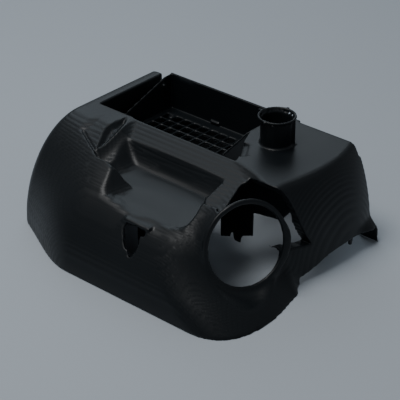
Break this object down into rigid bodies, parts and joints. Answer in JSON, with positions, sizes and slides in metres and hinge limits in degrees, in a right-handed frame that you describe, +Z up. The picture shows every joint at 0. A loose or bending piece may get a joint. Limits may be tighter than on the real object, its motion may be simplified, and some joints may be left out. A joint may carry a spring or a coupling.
{
  "type": "moulded housing shell",
  "caption": "Barrel-shaped thin-wall housing shell, open underneath and behind, with a filter bay, round spigot, round end opening, scooped hand grip and screw posts.",
  "frame": {"origin": "middle of the shell's bounding box, on the plane of the lower rim", "axes": "+X along the barrel towards the round end opening, +Y towards the open back, +Z up along the spigot"},
  "size_m": [0.4074, 0.308, 0.1655],
  "materials": {
    "shell_plastic": "satin, fine moulded texture"
  },
  "bodies": {
    "root": {"housing": "shell_plastic"}
  },
  "joints": []
}
